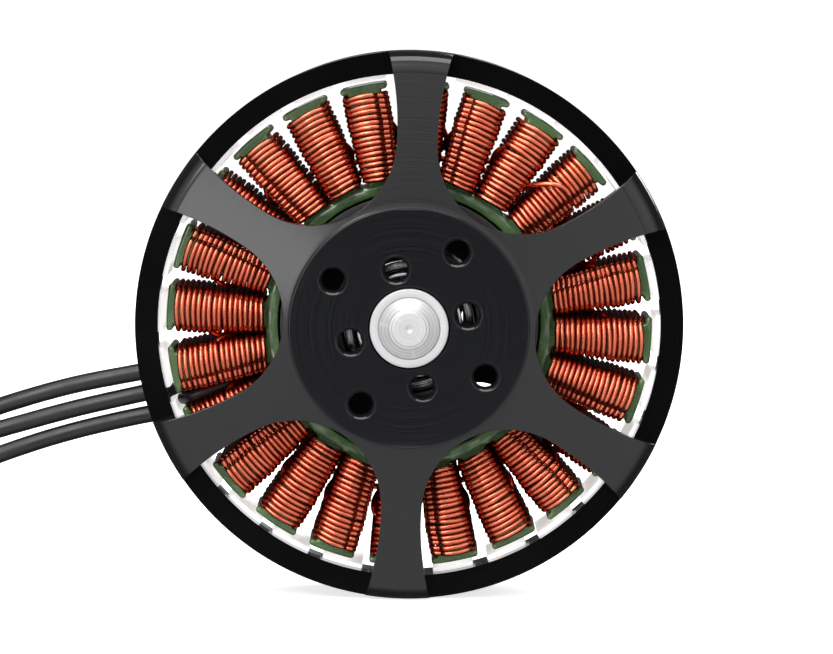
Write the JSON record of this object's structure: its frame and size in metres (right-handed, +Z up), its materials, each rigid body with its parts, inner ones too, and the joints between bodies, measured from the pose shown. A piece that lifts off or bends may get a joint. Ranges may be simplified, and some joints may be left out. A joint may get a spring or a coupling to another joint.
{
  "type": "brushless outrunner motor",
  "caption": "Large flat brushless outrunner motor: spoked bell with ring of magnets turning round a wound core on a mounting base, and three leads with bullet connectors.",
  "frame": {"origin": "centre of the base's rear mounting face, on the shaft's axis", "axes": "Y along the shaft, with the hub and shaft nose at -Y and the base's mounting face at +Y; +Z up, +X to the right seen from the front; the leads leave towards -X"},
  "size_m": [0.2551, 0.045, 0.092],
  "materials": {
    "bell_anodised": "black anodised, satin, fine concentric turning marks",
    "flux_steel": "black oxide steel, semi-gloss",
    "magnet_plating": "nickel plated",
    "shaft_steel": "ground and turned steel",
    "bearing_steel": "ground bearing steel",
    "bearing_shield": "pressed steel shield",
    "bearing_cage": "pressed steel cage with polished balls",
    "spring_steel": "phosphated spring steel",
    "base_anodised": "black anodised, satin",
    "core_coating": "green epoxy coating, glossy",
    "copper_wire": "enamelled copper wire, glossy red-orange",
    "lead_silicone": "black silicone, satin",
    "heat_shrink": "black heat-shrink, semi-gloss",
    "connector_gold": "gold plated"
  },
  "bodies": {
    "stator": {"stator_base": "base_anodised", "stator_core": "core_coating", "winding_phase_a": "copper_wire", "winding_phase_b": "copper_wire", "winding_phase_c": "copper_wire", "front_bearing_outer_ring": "bearing_steel", "front_bearing_front_shield": "bearing_shield", "front_bearing_rear_shield": "bearing_shield", "rear_bearing_outer_ring": "bearing_steel", "rear_bearing_front_shield": "bearing_shield", "rear_bearing_rear_shield": "bearing_shield", "lead_1": "lead_silicone", "lead_2": "lead_silicone", "lead_3": "lead_silicone", "lead_joint_sleeve_1": "heat_shrink", "lead_joint_sleeve_2": "heat_shrink", "lead_joint_sleeve_3": "heat_shrink", "lead_end_sleeve_1": "heat_shrink", "lead_end_sleeve_2": "heat_shrink", "lead_end_sleeve_3": "heat_shrink", "bullet_connector_1": "connector_gold", "bullet_connector_2": "connector_gold", "bullet_connector_3": "connector_gold"},
    "rotor": {"rotor_bell": "bell_anodised", "flux_ring": "flux_steel", "magnet_01": "magnet_plating", "magnet_02": "magnet_plating", "magnet_03": "magnet_plating", "magnet_04": "magnet_plating", "magnet_05": "magnet_plating", "magnet_06": "magnet_plating", "magnet_07": "magnet_plating", "magnet_08": "magnet_plating", "magnet_09": "magnet_plating", "magnet_10": "magnet_plating", "magnet_11": "magnet_plating", "magnet_12": "magnet_plating", "magnet_13": "magnet_plating", "magnet_14": "magnet_plating", "magnet_15": "magnet_plating", "magnet_16": "magnet_plating", "magnet_17": "magnet_plating", "magnet_18": "magnet_plating", "magnet_19": "magnet_plating", "magnet_20": "magnet_plating", "magnet_21": "magnet_plating", "magnet_22": "magnet_plating", "magnet_23": "magnet_plating", "magnet_24": "magnet_plating", "magnet_25": "magnet_plating", "magnet_26": "magnet_plating", "magnet_27": "magnet_plating", "magnet_28": "magnet_plating", "shaft": "shaft_steel", "shaft_shim": "bearing_steel", "shaft_circlip": "spring_steel", "front_bearing_inner_ring": "bearing_steel", "rear_bearing_inner_ring": "bearing_steel"},
    "front_cage": {"front_bearing_cage": "bearing_cage"},
    "rear_cage": {"rear_bearing_cage": "bearing_cage"}
  },
  "joints": [
    {"name": "rotor_spin", "type": "hinge", "parent": "stator", "child": "rotor", "pos_m": [0, 0, 0], "axis": [0, -1, 0], "continuous": true},
    {"name": "front_cage_spin", "type": "hinge", "parent": "stator", "child": "front_cage", "pos_m": [0, -0.0275, 0], "axis": [0, -1, 0], "continuous": true},
    {"name": "rear_cage_spin", "type": "hinge", "parent": "stator", "child": "rear_cage", "pos_m": [0, -0.006, 0], "axis": [0, -1, 0], "continuous": true}
  ],
  "couplings": [
    {"joint": "front_cage_spin", "follows": "rotor_spin", "ratio": 0.4125},
    {"joint": "rear_cage_spin", "follows": "rotor_spin", "ratio": 0.4125}
  ]
}
